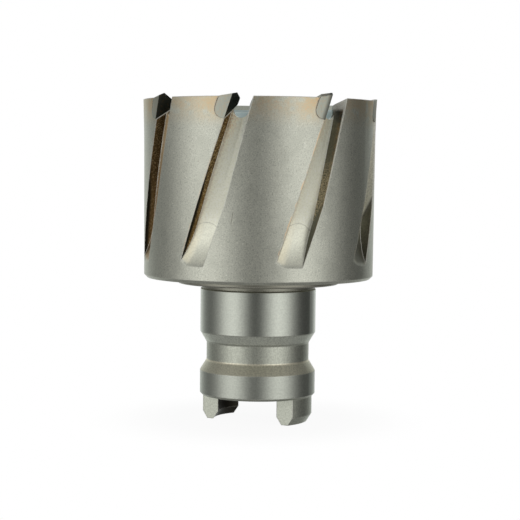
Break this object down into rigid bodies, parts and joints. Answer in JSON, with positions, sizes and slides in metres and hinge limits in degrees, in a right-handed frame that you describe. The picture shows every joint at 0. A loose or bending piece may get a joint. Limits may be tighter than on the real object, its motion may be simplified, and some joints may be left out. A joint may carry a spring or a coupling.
{
  "type": "annular cutter",
  "caption": "Carbide-tipped annular cutter with helical flutes and a grooved quick-change shank, for boring wide holes in steel with a magnetic drill.",
  "frame": {"origin": "centre of the ends of the two drive tongues, on the cutter's axis", "axes": "+Z along the axis from the shank to the teeth, +X through one drive tongue"},
  "size_m": [0.0642, 0.0642, 0.0896],
  "materials": {
    "body_steel": "bead-blasted nickel-grey cup, finely ground shank lands",
    "carbide": "ground tungsten carbide, dark grey",
    "braze": "heat-darkened copper braze"
  },
  "bodies": {
    "root": {"cutter_body": "body_steel", "carbide_tip_1": "carbide", "carbide_tip_2": "carbide", "carbide_tip_3": "carbide", "carbide_tip_4": "carbide", "carbide_tip_5": "carbide", "carbide_tip_6": "carbide", "carbide_tip_7": "carbide", "carbide_tip_8": "carbide", "braze_seam_1": "braze", "braze_seam_2": "braze", "braze_seam_3": "braze", "braze_seam_4": "braze", "braze_seam_5": "braze", "braze_seam_6": "braze", "braze_seam_7": "braze", "braze_seam_8": "braze"}
  },
  "joints": []
}
